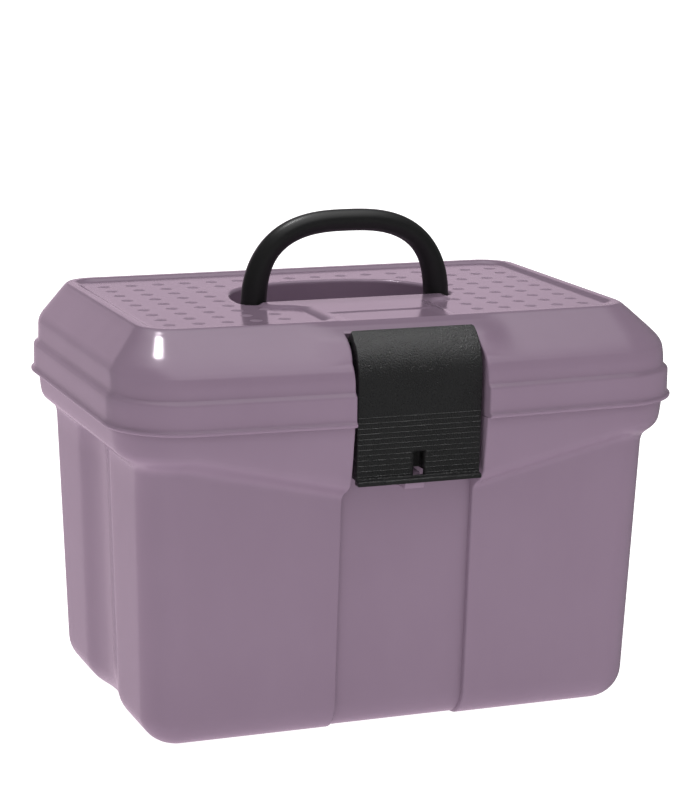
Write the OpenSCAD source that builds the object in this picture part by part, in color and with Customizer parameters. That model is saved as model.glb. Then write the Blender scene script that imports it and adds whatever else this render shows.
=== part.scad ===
// Horse grooming box: a moulded tub with a hinged lid, a fold-down carrying handle,
// a sprung front latch and a lift-out tray.
// X runs along the length, the front faces -Y, Z is up and the foot stands on Z = 0.

/* [Main sizes] */
// Length over the lip of the lid
lip_len = 400; // [360:1:460]
// Depth over the lip of the lid, at its corners
lip_depth = 284.6; // [260:0.2:330]
// Height of the lip above the ground
lip_z = 220; // [190:1:260]

/* [Tub] */
// How far the foot lies inside the lip at the ends
foot_in_end = 25.5; // [20:0.5:40]
// How far the foot lies inside the lip at the front
foot_in_front = 31.8; // [26:0.2:46]
// How far the foot lies inside the lip at the back
foot_in_back = 26.3; // [20:0.1:40]
// Depth of the crease, where the collar leaves the wall, below the lip
crease_drop = 29; // [24:1:40]
// How far the crease dips towards the middle of the front
crease_dip = 35; // [0:1:45]
// Draft of the end walls in degrees
end_draft = 1.8; // [1:0.1:2.2]
// Draft of the front and back walls in degrees
long_draft = 2.7; // [1:0.1:3]
// Radius of the upright corners
tub_corner = 25; // [24:1:36]
// Radius of the edge round the foot
foot_round = 22; // [12:1:23]
// Wall of the tub
tub_wall = 2.8; // [2:0.1:3.2]
// Depth of the recessed panel
panel_depth = 4; // [2:0.5:6]
// Width of the hollow in each end wall
flute_w = 76; // [50:1:100]
// Depth of the hollow in each end wall
flute_depth = 5; // [2:0.5:6]
// Width of the catch that the latch closes over
keeper_w = 14; // [9:1:24]

/* [Lid] */
// How far the middle of the front stands out as a shallow prow
prow = 7.9; // [2:0.1:10]
// Corner radius of the lip
lip_corner = 51; // [46:1:60]
// Radius of the bead round the lip
bead_r = 1.6; // [1:0.1:2]
// Height from the lip to the ledge at the top of the skirt
skirt_h = 16; // [14:0.5:20]
// Height of the rounded ledge above the skirt
ledge_h = 6; // [5:0.5:8]
// Height of the dome above the ledge
dome_h = 37.3; // [34:0.1:40]
// How far the top edge lies inside the lip at the ends
crest_end = 28; // [24:0.5:34]
// How far the top edge lies inside the lip at the front
crest_front = 46.8; // [44:0.1:52]
// How far the top edge lies inside the lip at the back
crest_back = 20; // [17:0.5:26]
// Depth of the dotted floor below the top edge
floor_drop = 2; // [1:0.1:4]
// Wall of the lid
lid_wall = 2.5; // [2:0.1:3]
// Diameter of the raised dots
dot_d = 8; // [5:0.5:11]
// Spacing of the raised dots
dot_pitch = 19.8; // [18:0.1:20]
// Height of the raised dots
dot_h = 0.7; // [0.4:0.1:1.2]

/* [Handle] */
// Diameter of the handle's legs
leg_d = 17.8; // [14:0.2:19]
// Thickness of the grip at the top of the arch
grip_t = 15.2; // [12:0.2:17]
// Spacing of the two legs, middle to middle
leg_span = 135.4; // [120:0.2:138]
// Height of the grip's middle above its pivot
grip_rise = 63; // [58:0.2:66]
// Power of the arch: 2 is an ellipse, more is squarer
arch_power = 2.7; // [2.2:0.1:3.2]
// Diameter of the trunnions on the feet
trunnion_d = 7; // [5:0.5:9]
// Play beside and in front of the handle's legs in the well
well_play = 1.5; // [1:0.1:4]

/* [Latch] */
// Width of the latch
latch_w = 87; // [78:1:88]
// Thickness of the latch plate
latch_plate = 3; // [2.2:0.1:4]
// Play between the latch and the sides of its pocket
latch_play = 3.5; // [1.5:0.5:5]
// Depth of the latch's side cheeks
cheek_depth = 9; // [7:0.5:10]
// Bend radius of the latch over the edge of the lid
latch_bend = 34; // [32:1:38]
// Width of the slot over the catch
slot_w = 8.2; // [6:0.2:12]
// Height of the slot over the catch
slot_h = 17; // [12:0.5:20]
// Number of grip grooves
grooves = 12; // [6:1:14]
// Depth of the pull lip at the bottom
pull_out = 4; // [2:0.5:5]

/* [Hinge] */
// Diameter of the steel pins
pin_d = 4; // [3:0.2:5]
// Radius of the hinge knuckles
knuckle_r = 5.4; // [4.6:0.1:5.6]
// Length of a lid knuckle
knuckle_len = 22; // [14:1:34]
// Distance of each hinge from the middle
hinge_x = 110; // [80:1:125]

/* [Tray] */
// Height of the tray
tray_h = 50; // [36:1:70]
// Wall of the tray
tray_wall = 2; // [1.6:0.1:2.6]
// Height of the grip over the tray's rim
tray_grip_h = 32; // [24:1:36]
// Length of the finger slot in the grip
finger_w = 90; // [70:1:110]

/* [Hidden] */

$fn = 48;
mauve = "#8b798a";
black = "#222222";
steel = "#b9bcc0";

// Gaps: a seat, a running fit on a pin, the side play of moving parts, and the overrun of cuts
seat_gap = 0.3;
pin_gap = 0.06;
side_gap = 0.4;
over = 1;

// Facets in each corner and across each hollow
corner_steps = 8;
flute_steps = 8;
round_steps = 6;
bead_steps = 4;
// Smallest corner that an offset outline keeps
least_corner = 1;
// The slanted sides of a notch in the front take this much width
notch_draft = 1;

// Reaches of the lip and the foot from the middle
lip_half = lip_len / 2;
lip_front = lip_depth / 2;
lip_back = lip_depth / 2;
foot_half = lip_half - foot_in_end;
foot_front = lip_front - foot_in_front;
foot_back = lip_back - foot_in_back;
crease_z = lip_z - crease_drop;

// Lid heights and reaches
skirt_in = 2;
ledge_in = 3.2;
dome_in = skirt_in + ledge_in;
skirt_top = lip_z + skirt_h;
dome_z = skirt_top + ledge_h;
crest_z = dome_z + dome_h;
floor_z = crest_z - floor_drop;
rim_top_w = 4;
rim_slope_w = 7;
crest_prow = 3;
floor_in = rim_top_w + rim_slope_w;

// Side view of the dome from its foot to the top edge, as shares of its run and height
dome_shares = [[0, 0], [0.01, 0.29], [0.03, 0.35], [0.07, 0.405], [0.14, 0.467], [0.225, 0.523],
    [0.5, 0.7], [0.78, 0.882], [0.87, 0.937], [0.94, 0.978], [1, 1]];
// Above this share of the height the dome leans over, and its wall is measured on the slant
lean_share = 0.38;
slant_shares = [0.9, 0.6];

// Latch: face, bend, foot and pivot
latch_set = 3.3;
latch_face = -(lip_front - latch_set);
bend_up = 6;
latch_bend_z = dome_z + bend_up;
latch_turn = 60;
latch_lean = 2;
latch_drop = 42.5;
latch_foot_z = lip_z - latch_drop;
pull_h = 3.5;
// The pivot lies behind the face of the bend, this far down and this far round
pivot_in = 6.5;
pivot_turn = 50;
pivot_r = latch_bend - pivot_in;
pivot_y = latch_face + latch_bend - pivot_r * cos(pivot_turn);
pivot_z = latch_bend_z + pivot_r * sin(pivot_turn);
hub_r = 5;
groove_pitch = 3.55;
groove_depth = 0.5;
groove_w = 1;
slot_z = latch_foot_z + pull_h;
hook_h = 11;

// Pocket for the latch in the front of the lid: its floor clears the cheeks below,
// and the swing of the latch's top end above
pocket_half = latch_w / 2 + latch_play;
pocket_gap = 4;
swing_gap = 1.5;
latch_swing = norm([latch_bend * cos(latch_turn) - pivot_r * cos(pivot_turn),
    latch_bend * sin(latch_turn) - pivot_r * sin(pivot_turn)]);
pocket_y = latch_face + cheek_depth + pocket_gap;
pocket_deep_y = pivot_y + latch_swing + swing_gap;
pocket_low_share = 0.2;
pocket_top_share = 0.8;

// Ears that stand beside the latch's bend: set back from its face, with a sloping outer side
ear_set = 1.5;
ear_turn = 65;
ear_w = 3;
ear_slope = 7.5;
ear_r = latch_bend - ear_set;

// Rim of the tub inside the lid's skirt
rim_play = 1.1;
rim_in = skirt_in + lid_wall + rim_play;
rim_z = skirt_top - seat_gap;
collar_drop = 5;
collar_top_z = lip_z - collar_drop;
notch_play = 2;
rim_notch_half = pocket_half + lid_wall + notch_play;
rim_lead = 2;

// Side view of the collar: share of its flare, height share between crease and top,
// share of the prow and share of the dip
collar_shares = [[0, -0.2, 0, 1], [0.05, -0.04, 0, 1], [0.2, 0.1, 0.1, 1], [0.62, 0.3, 0.25, 1],
    [0.8, 0.43, 0.35, 0.95], [0.9, 0.6, 0.5, 0.8], [1, 1, 1, 0]];

// Handle: pivot and arch
foot_gap = 1.6;
arch_steps = 48;
section_steps = 24;
// The arch slims down between these shares of its rise
slim_shares = [0.2, 0.8];
handle_z = floor_z - leg_d / 2;
well_w = leg_span + leg_d + 2 * well_play;
well_reach = 4;
well_back = grip_rise + grip_t / 2 + well_reach;
well_front = leg_d / 2 + 2 * well_play;
boss_wall = 3.5;
trunnion_end = 1;
trunnion_len = well_play + 2 * lid_wall + trunnion_end;
well_power = 2.5;
well_steps = 40;
// Smooth bridge on the lid: a stem behind the latch and a bar along the front of the well
stem_half = latch_w / 2 + 2;
bar_half = 67;
bar_w = 19;
bar_round = 9;
stem_flare = 14;
// Shallow recess in the stem behind the latch
recess_half = 36;
recess_len = 30;
recess_h = 0.5;
dot_clear = 1;

// Hinge line
hinge_y = lip_back;
hinge_z = lip_z;
arm_rise = 3;
arm_top = knuckle_r + arm_rise;

// Tray
tray_seat_share = 0.65;
tray_play = 0.5;
tray_rim_h = 2.5;
tray_draft = 2;
finger_h = 20;
divider_y = 8;
cross_x = 46;

function mix(a, b, share) = a + (b - a) * share;

function arc(cx, cy, r, from, steps) =
    [for (i = [0:steps]) let (t = from + 90 * i / steps) [cx + r * cos(t), cy + r * sin(t)]];

// Share of the prow left at x on a front that is straight between its corners
function bow(x, half, corner) = max(0, 1 - abs(x) / (half - corner));

// One end wall from front to back, with a shallow hollow in its middle
function hollow(half, depth, mid) =
    [for (i = [0:flute_steps]) let (s = 2 * i / flute_steps - 1)
        [half - depth * (1 - s * s), mid + s * flute_w / 2]];

function flip(points) = [for (i = [len(points) - 1:-1:0]) [-points[i][0], points[i][1]]];

// Outline of a moulding at one level, anticlockwise from the right side of its front notch.
// notch_y is the floor of the notch, or undef where the front runs straight across;
// the ears beside the notch reach out to ear_y where that lies in front of the front line.
function outline(half, front, back, corner, bulge, notch, notch_y, depth, ear_y = 0) =
    let (
        r = max(corner, least_corner),
        ear_x = notch + ear_w,
        xs = [notch - notch_draft, notch, ear_x, ear_x + ear_slope],
        line = [for (x = xs) front - bulge * bow(x, half, r)],
        right = concat(
            [[xs[0], is_undef(notch_y) ? line[0] : notch_y],
                [xs[1], min(line[1], ear_y)], [xs[2], min(line[2], ear_y)], [xs[3], line[3]]],
            arc(half - r, front + r, r, -90, corner_steps),
            hollow(half, depth, (front + back) / 2),
            arc(half - r, back - r, r, 0, corner_steps)))
    concat(right, flip(right));

// Points of an outline, at each end of the list, that lie on its front
front_points = 4;

// Lifts an outline to its height; its front lies lower by dip in the middle, less towards the corners
function level(points, z, dip, half, corner) =
    [for (i = [0:len(points) - 1])
        let (
            at_front = dip > 0 && (i < front_points || i >= len(points) - front_points),
            edge_x = max(abs(points[i][0]), abs(points[1][0])))
        [points[i][0], points[i][1], at_front ? z - dip * bow(edge_x, half, corner) : z]];

// Closed solid through a stack of outlines: the skin, and a fan of triangles at each end
module loft(rings) {
    n = len(rings[0]);
    m = len(rings);
    first = rings[0];
    last = rings[m - 1];
    function middle(ring) = [0, (ring[0][1] + ring[n / 2][1]) / 2, ring[n / 2][2]];
    polyhedron(
        points = concat([for (r = rings) each r], [middle(first), middle(last)]),
        faces = concat(
            [for (i = [0:n - 1]) [n * m, i, (i + 1) % n]],
            [for (k = [0:m - 2], i = [0:n - 1]) [k * n + i, (k + 1) * n + i, (k + 1) * n + (i + 1) % n]],
            [for (k = [0:m - 2], i = [0:n - 1]) [k * n + i, (k + 1) * n + (i + 1) % n, k * n + (i + 1) % n]],
            [for (i = [0:n - 1]) [n * m + 1, (m - 1) * n + (i + 1) % n, (m - 1) * n + i]]));
}

// Side view in Y and Z, drawn out along X about the middle
module along_x(width) {
    rotate([90, 0, 90]) linear_extrude(width, center = true) children();
}

// Round bar along X about a point
module bar_x(x, y, z, r, length) {
    translate([x, y, z]) rotate([0, 90, 0]) cylinder(r = r, h = length, center = true);
}

// Tub

// Wall lines of the tub at a height
function tub_half_at(z) = foot_half + z * tan(end_draft);
function tub_front_at(z) = -foot_front - z * tan(long_draft);
function tub_back_at(z) = foot_back + z * tan(long_draft);

// Outline of the tub: share is how far the collar has flared, inset the roundness of the foot,
// skin the depth below the outer face
function tub_level(z, share, bulge_share, dip_share, inset, skin, depth, notch) =
    let (
        off = inset + skin,
        half = mix(tub_half_at(z), lip_half - rim_in, share) - off,
        front = mix(tub_front_at(z), -(lip_front - rim_in), share) + off,
        back = mix(tub_back_at(z), lip_back - rim_in, share) - off,
        corner = mix(tub_corner, lip_corner - rim_in, share) - off,
        points = outline(half, front, back, corner, prow * bulge_share, notch + skin,
            tub_front_at(z) + panel_depth + off, depth))
    level(points, z, crease_dip * dip_share, half, corner);

function foot_levels(skin) =
    [for (i = [0:round_steps]) let (t = 90 * i / round_steps, r = foot_round - skin)
        tub_level(skin + r * (1 - cos(t)), 0, 0, 0, r * (1 - sin(t)), skin, flute_depth, pocket_half)];

function collar_levels(skin) =
    [for (i = [0:len(collar_shares) - 1]) let (s = collar_shares[i])
        tub_level(mix(crease_z, collar_top_z, s[1]), s[0], s[2], s[3], 0, skin,
            i == 0 ? flute_depth : 0, pocket_half)];

function rim_levels(skin) =
    [for (z = [collar_top_z + rim_lead, rim_z]) tub_level(z, 1, 1, 0, 0, skin, 0, rim_notch_half)];

function reversed(list) = [for (i = [len(list) - 1:-1:0]) list[i]];

module tub_shell() {
    loft(concat(
        foot_levels(0), collar_levels(0), rim_levels(0),
        reversed(rim_levels(tub_wall)), reversed(collar_levels(tub_wall)), reversed(foot_levels(tub_wall))));
}

// Catch on the panel behind the latch's slot
module keeper() {
    root = tub_front_at(slot_z) + panel_depth + tub_wall / 2;
    nose = latch_face + latch_lean + latch_plate + seat_gap + side_gap;
    along_x(keeper_w) polygon([
        [root, slot_z - slot_h / 2],
        [nose + pull_h, slot_z - pull_h],
        [nose, slot_z],
        [nose, slot_z + slot_h / 3],
        [root, slot_z + slot_h]]);
}

// Centres of the two knuckles that flank a lid knuckle, and their length
tub_knuckle = 10;
tub_knuckle_x = knuckle_len / 2 + side_gap + tub_knuckle / 2;

module tub_knuckles() {
    for (side = [-1, 1], ear = [-1, 1]) {
        x = side * hinge_x + ear * tub_knuckle_x;
        root = lip_back - rim_in - tub_wall / 2;
        bar_x(x, hinge_y, hinge_z, knuckle_r, tub_knuckle);
        translate([x - tub_knuckle / 2, root, hinge_z - knuckle_r])
            cube([tub_knuckle, hinge_y - root, knuckle_r]);
    }
}

module hinge_bores() {
    for (side = [-1, 1])
        bar_x(side * hinge_x, hinge_y, hinge_z, pin_d / 2 + pin_gap, knuckle_len + 4 * tub_knuckle);
}

module tub() {
    color(mauve) difference() {
        union() {
            tub_shell();
            keeper();
            tub_knuckles();
        }
        hinge_bores();
    }
}

// Lid

// Outline of the lid at insets from the lip at its ends, front and back
function lid_level(z, end_in, front_in, back_in, bulge, skin, notch_y, ear_y = 0) =
    outline2(lip_half - end_in, -(lip_front - front_in), lip_back - back_in, lip_corner - end_in,
        bulge, pocket_half + skin, notch_y, z, ear_y);

function outline2(half, front, back, corner, bulge, notch, notch_y, z, ear_y = 0) =
    level(outline(half, front, back, corner, bulge, notch, notch_y, 0, ear_y), z, 0);

function even_level(z, inset, skin) =
    lid_level(z, inset, inset, inset, prow, skin, pocket_y + skin);

// Bead and skirt from the lip up, then the rounded ledge
function bead_levels() =
    [for (i = [0:bead_steps]) let (t = 180 * i / bead_steps - 90)
        even_level(lip_z + bead_r * sin(t), bead_r * (1 - cos(t)), 0)];

function ledge_levels() =
    [for (i = [0:round_steps / 2 - 1]) let (t = 180 * i / round_steps)
        even_level(skirt_top + ledge_h * sin(t), skirt_in + ledge_in * (1 - cos(t)), 0)];

// Reach of the ears at a height, level with the latch's bend
function ear_at(z) =
    let (up = z - latch_bend_z)
    up > 0 && up < ear_r * sin(ear_turn) ? latch_face + latch_bend - sqrt(ear_r * ear_r - up * up) : 0;

// One level of the dome; skin goes inwards on the upright wall and on the slant above it
function dome_level(s, skin) =
    let (
        slant = s[1] > lean_share,
        inward = skin * (slant ? slant_shares[0] : 1),
        z = dome_z + dome_h * s[1] - skin * (slant ? slant_shares[1] : 0),
        notch_y = s[1] < pocket_low_share ? pocket_y + skin
            : s[1] < pocket_top_share ? pocket_deep_y + skin : undef)
    lid_level(z, mix(dome_in, crest_end, s[0]) + inward, mix(dome_in, crest_front, s[0]) + inward,
        mix(dome_in, crest_back, s[0]) + inward, mix(prow, crest_prow, s[0]), skin, notch_y,
        skin > 0 ? 0 : ear_at(z));

function floor_level(z, inset, bulge) =
    lid_level(z, crest_end + inset, crest_front + inset, crest_back + inset, bulge, 0, undef);

module lid_shell() {
    inner_dome = [for (i = [1:len(dome_shares) - 3]) dome_level(dome_shares[i], lid_wall)];
    outer_dome = [for (s = dome_shares) dome_level(s, 0)];
    loft(concat(
        [floor_level(floor_z - lid_wall, floor_in, 0), floor_level(floor_z - lid_wall, rim_top_w, crest_prow)],
        reversed(inner_dome),
        [even_level(skirt_top, dome_in + lid_wall, lid_wall),
            even_level(skirt_top, skirt_in + lid_wall, lid_wall),
            even_level(lip_z - bead_r, skirt_in + lid_wall, lid_wall)],
        bead_levels(),
        [even_level(lip_z + bead_r + skirt_in / 2, skirt_in, 0)],
        ledge_levels(),
        outer_dome,
        [floor_level(crest_z, rim_top_w, crest_prow), floor_level(floor_z, floor_in, 0)]));
}

// D-shaped well for the folded handle: a squared arch behind the pivot, straight in front
function well_outline(grow) =
    let (
        half = well_w / 2 + grow,
        back = well_back + grow,
        front = well_front + grow,
        corner = well_front)
    concat(
        [for (i = [0:well_steps]) let (t = 180 * i / well_steps, c = cos(t), s = sin(t))
            [half * sign(c) * pow(abs(c), 2 / well_power), back * pow(abs(s), 2 / well_power)]],
        arc(-half + corner + grow, -front + corner + grow, corner + grow, 180, corner_steps),
        arc(half - corner - grow, -front + corner + grow, corner + grow, 270, corner_steps));

well_floor_z = handle_z - leg_d / 2 - foot_gap;

module well_cut() {
    translate([0, 0, well_floor_z]) linear_extrude(crest_z) polygon(well_outline(0));
}

module well_bucket() {
    translate([0, 0, well_floor_z - lid_wall])
        linear_extrude(floor_z - well_floor_z + lid_wall) polygon(well_outline(lid_wall));
}

module trunnion_boss(side) {
    bar_x(side * (well_w / 2 + lid_wall), 0, handle_z, trunnion_d / 2 + boss_wall, 2 * lid_wall);
}

// Smooth bridge from the front edge to the well, at the height of the top edge
module plateau() {
    front = -(lip_front - crest_front - rim_top_w);
    bar_y = -well_front - bar_w;
    flare = [for (i = [0:corner_steps]) let (t = 90 * i / corner_steps)
        [stem_half + stem_flare * (1 - cos(t)), bar_y - stem_flare * (1 - sin(t))]];
    end = arc(bar_half - bar_round, bar_y + bar_round, bar_round, -90, corner_steps);
    edge = concat([[stem_half, front]], flare, end, [[bar_half, -well_front + over]]);
    translate([0, 0, floor_z - lid_wall / 2])
        linear_extrude(floor_drop + lid_wall / 2) polygon(concat(edge, flip(edge)));
}

module recess() {
    front = -(lip_front - crest_front + crest_prow);
    translate([-recess_half, front - over, crest_z - recess_h])
        cube([2 * recess_half, recess_len + crest_prow + over, recess_h + over]);
}

// True where a dot meets neither the well nor the plateau
function dot_is_clear(x, y) =
    let (
        r = dot_d / 2 + dot_clear,
        in_well = abs(x) < well_w / 2 + r && y > -well_front - r
            && pow(abs(x) / (well_w / 2 + r), well_power) + pow(max(y, 0) / (well_back + r), well_power) < 1,
        in_stem = abs(x) < stem_half + r && y < 0,
        in_bar = abs(x) < bar_half + dot_clear && y > -well_front - bar_w - r && y < 0)
    !in_well && !in_stem && !in_bar;

module dots() {
    columns = 2 * floor((lip_half - crest_end - floor_in) / dot_pitch + 0.5);
    rows = 2 * floor((lip_front - crest_front - rim_top_w) / dot_pitch + 0.5);
    for (i = [0:columns - 1], j = [0:rows - 1]) {
        x = (i - (columns - 1) / 2) * dot_pitch;
        y = (j - (rows - 1) / 2) * dot_pitch;
        if (dot_is_clear(x, y))
            translate([x, y, floor_z - dot_h]) cylinder(d = dot_d, h = 2 * dot_h, $fn = 24);
    }
}

module lid_knuckles() {
    for (side = [-1, 1]) {
        root = lip_back - skirt_in - lid_wall / 2;
        bar_x(side * hinge_x, hinge_y, hinge_z, knuckle_r, knuckle_len);
        translate([side * hinge_x - knuckle_len / 2, root, hinge_z])
            cube([knuckle_len, hinge_y - root, arm_top]);
    }
}

// Windows in the back of the skirt for the tub's knuckles
module knuckle_windows() {
    depth = skirt_in + lid_wall + knuckle_r;
    for (side = [-1, 1], ear = [-1, 1])
        translate([side * hinge_x + ear * tub_knuckle_x - tub_knuckle / 2 - side_gap,
                lip_back - skirt_in - lid_wall - over, hinge_z - knuckle_r - over])
            cube([tub_knuckle + 2 * side_gap, depth + over, 2 * (knuckle_r + over)]);
}

module lid() {
    color(mauve) difference() {
        union() {
            difference() {
                union() {
                    lid_shell();
                    plateau();
                    dots();
                    well_bucket();
                    for (side = [-1, 1])
                        trunnion_boss(side);
                }
                well_cut();
                recess();
                knuckle_windows();
            }
            lid_knuckles();
        }
        hinge_bores();
        bar_x(0, pivot_y, pivot_z, pin_d / 2 + pin_gap, 2 * (pocket_half + lid_wall + over));
        bar_x(0, 0, handle_z, trunnion_d / 2 + pin_gap, well_w + 4 * lid_wall);
    }
}

// Latch

// Arc of the latch's bend from the upright plate to its top end, depth behind the face
function bend(depth, from, to) =
    [for (i = [0:round_steps]) let (t = mix(from, to, i / round_steps), r = latch_bend - depth)
        [latch_face + latch_bend - r * cos(t), latch_bend_z + r * sin(t)]];

// Side view of the latch between its face and a depth behind it
function latch_side(depth) = concat(
    [[latch_face + latch_lean, slot_z]], bend(0, 0, latch_turn),
    bend(depth, latch_turn, 0), [[latch_face + latch_lean + depth, slot_z]]);

module latch_cheek(side) {
    translate([side * (latch_w / 2 - latch_plate / 2), 0, 0]) along_x(latch_plate) {
        polygon(latch_side(cheek_depth));
        translate([pivot_y, pivot_z]) circle(hub_r);
    }
}

module latch_grooves() {
    top = slot_z + groove_pitch * (grooves + 0.5);
    for (i = [1:grooves]) {
        z = top - i * groove_pitch;
        y = latch_face + latch_lean * (latch_bend_z - z) / (latch_bend_z - slot_z);
        translate([-latch_w / 2 - over, y - over, z])
            cube([latch_w + 2 * over, over + groove_depth, groove_w]);
    }
}

module latch() {
    color(black) difference() {
        union() {
            along_x(latch_w) polygon(latch_side(latch_plate));
            for (side = [-1, 1])
                latch_cheek(side);
            translate([-latch_w / 2, latch_face + latch_lean - pull_out, latch_foot_z])
                cube([latch_w, pull_out + latch_plate, pull_h]);
            // The pull runs on up inside the plate
            translate([-latch_w / 2, latch_face + latch_lean, latch_foot_z])
                cube([latch_w, latch_plate / 2, 2 * pull_h]);
            translate([-slot_w, latch_face + latch_lean + latch_plate / 2, slot_z + slot_h / 2])
                cube([2 * slot_w, latch_plate, hook_h]);
        }
        latch_grooves();
        translate([-slot_w / 2, latch_face - over, slot_z])
            cube([slot_w, latch_lean + latch_plate / 2 + over, slot_h]);
        translate([-slot_w / 2, latch_face - over, slot_z])
            cube([slot_w, latch_lean + 2 * latch_plate + over, slot_h / 2]);
        bar_x(0, pivot_y, pivot_z, pin_d / 2 + pin_gap, latch_w + 2 * over);
    }
}

module latch_pin() {
    color(steel) bar_x(0, pivot_y, pivot_z, pin_d / 2, 2 * (pocket_half + lid_wall));
}

// Handle

// Middle of the handle's arch at an angle round it, from one pivot over to the other
function arch_point(t) =
    let (c = cos(t), s = max(sin(t), 0))
    [leg_span / 2 * sign(c) * pow(abs(c), 2 / arch_power), grip_rise * pow(s, 2 / arch_power)];

// Half thickness of the arch at a share of its rise
function arch_half(share) =
    let (u = min(1, max(0, (share - slim_shares[0]) / (slim_shares[1] - slim_shares[0]))))
    mix(leg_d, grip_t, u * u * (3 - 2 * u)) / 2;

// Oval section square to the arch
function arch_section(i) =
    let (
        t = 180 * i / arch_steps,
        step = 90 / arch_steps,
        p = arch_point(t),
        ahead = i == 0 ? [0, 1] : i == arch_steps ? [0, -1] : arch_point(t + step) - arch_point(t - step),
        out = [ahead[1], -ahead[0]] / norm(ahead),
        r = arch_half(p[1] / grip_rise))
    [for (k = [0:section_steps - 1]) let (a = 360 * k / section_steps)
        [p[0] + out[0] * r * cos(a), leg_d / 2 * sin(a), handle_z + p[1] + out[1] * r * cos(a)]];

// The arch as one skin, with a flat end in each foot
module arch() {
    n = section_steps;
    m = arch_steps;
    polyhedron(
        points = [for (i = [0:m]) each arch_section(i)],
        faces = concat(
            [[for (k = [0:n - 1]) k], [for (k = [n - 1:-1:0]) m * n + k]],
            [for (i = [0:m - 1], k = [0:n - 1])
                [i * n + k, (i + 1) * n + k, (i + 1) * n + (k + 1) % n]],
            [for (i = [0:m - 1], k = [0:n - 1])
                [i * n + k, (i + 1) * n + (k + 1) % n, i * n + (k + 1) % n]]));
}

module handle() {
    half = leg_span / 2;
    color(black) {
        arch();
        for (side = [-1, 1]) {
            translate([side * half, 0, handle_z]) sphere(d = leg_d - side_gap);
            bar_x(side * (half + leg_d / 4 + trunnion_len / 2), 0, handle_z, trunnion_d / 2,
                leg_d / 2 + trunnion_len);
        }
    }
}

// Hinge pins

module hinge_pin(side) {
    color(steel) bar_x(side * hinge_x, hinge_y, hinge_z, pin_d / 2,
        knuckle_len + 2 * side_gap + 2 * tub_knuckle);
}

module hinge_pin_left() {
    hinge_pin(-1);
}

module hinge_pin_right() {
    hinge_pin(1);
}

// Tray

tray_height_share = 0.33;
tray_z = mix(crease_z, collar_top_z, tray_height_share);
notch_gap = 1;
tray_notch = rim_notch_half + tub_wall + notch_gap;
body_gap = 1.5;

// Outline of the tray's rim, on the slope of the collar
function tray_rim(z) =
    let (off = tub_wall + tray_play)
    outline2(
        mix(tub_half_at(tray_z), lip_half - rim_in, tray_seat_share) - off,
        mix(tub_front_at(tray_z), -(lip_front - rim_in), tray_seat_share) + off,
        mix(tub_back_at(tray_z), lip_back - rim_in, tray_seat_share) - off,
        mix(tub_corner, lip_corner - rim_in, tray_seat_share) - off,
        0, tray_notch, tub_front_at(tray_z) + panel_depth + off, z);

// Outline of the tray's body, clear of the hollows in the tub's ends
function tray_body(z, inset) =
    let (low = tray_z - tray_h, off = tub_wall + body_gap + inset)
    outline2(
        tub_half_at(low) - flute_depth - off, tub_front_at(low) + panel_depth + off,
        tub_back_at(low) - off, tub_corner - off, 0, tray_notch, undef, z);

module tray() {
    low = tray_z - tray_h;
    grip_top = tray_z + tray_rim_h + tray_grip_h;
    grip_z = grip_top - finger_h - tray_wall * 3;
    front = tub_front_at(low) + panel_depth + tub_wall + tray_draft;
    back = tub_back_at(low) - tub_wall - tray_draft;
    half = tub_half_at(low) - flute_depth - tub_wall - tray_draft;
    color(black) {
        loft([
            tray_body(low, tray_draft), tray_body(tray_z, 0),
            tray_rim(tray_z), tray_rim(tray_z + tray_rim_h),
            tray_body(tray_z + tray_rim_h, tray_wall), tray_body(low + tray_wall, tray_draft + tray_wall)]);
        difference() {
            union() {
                translate([-half, divider_y - tray_wall / 2, low + tray_wall / 2])
                    cube([2 * half, tray_wall, tray_h]);
                translate([-finger_w * 0.75, divider_y - tray_wall * 1.5, low + tray_wall / 2])
                    cube([finger_w * 1.5, tray_wall * 3, grip_top - low - tray_wall / 2]);
            }
            translate([-finger_w / 2, divider_y - tray_wall * 2, grip_z])
                cube([finger_w, tray_wall * 4, finger_h]);
        }
        translate([cross_x, front, low + tray_wall / 2])
            cube([tray_wall, divider_y - front, tray_h - tray_wall]);
    }
}

tub();
lid();
latch();
latch_pin();
handle();
hinge_pin_left();
hinge_pin_right();
tray();
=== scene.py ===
# %% [markdown]
# # A grooming box in moulded plastic
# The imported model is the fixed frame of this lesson. Each piece is made in the same place and to the same
# sizes as its solid, with the rounding, the gloss and the grain that the solid leaves out. Sizes are in
# millimetres, as on a drawing, until a mesh is made.

# %% The frame
import math
import bmesh
import bpy
import numpy as np
from mathutils import Matrix, Vector


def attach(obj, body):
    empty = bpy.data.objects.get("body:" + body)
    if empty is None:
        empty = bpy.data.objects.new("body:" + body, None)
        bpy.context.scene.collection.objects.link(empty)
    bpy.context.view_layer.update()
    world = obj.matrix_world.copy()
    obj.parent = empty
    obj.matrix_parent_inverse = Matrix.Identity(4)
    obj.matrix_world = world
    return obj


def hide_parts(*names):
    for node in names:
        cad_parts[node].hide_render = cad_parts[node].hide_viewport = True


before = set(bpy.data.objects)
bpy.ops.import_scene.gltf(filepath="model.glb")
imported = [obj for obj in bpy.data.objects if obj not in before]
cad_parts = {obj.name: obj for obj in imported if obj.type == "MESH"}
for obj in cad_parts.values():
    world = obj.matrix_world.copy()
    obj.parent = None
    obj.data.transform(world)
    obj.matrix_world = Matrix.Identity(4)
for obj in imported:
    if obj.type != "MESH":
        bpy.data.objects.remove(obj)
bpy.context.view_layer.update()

# %% [markdown]
# ## Camera
# The camera looks down a little on the front and the left end. Its angles, its place and its lens were
# worked out from the straight rows of dots on the lid and from the two upright ends of the box. A camera
# aimed at an empty would come close, but a matrix of three axes keeps the solved angles and the slight roll.

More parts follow.
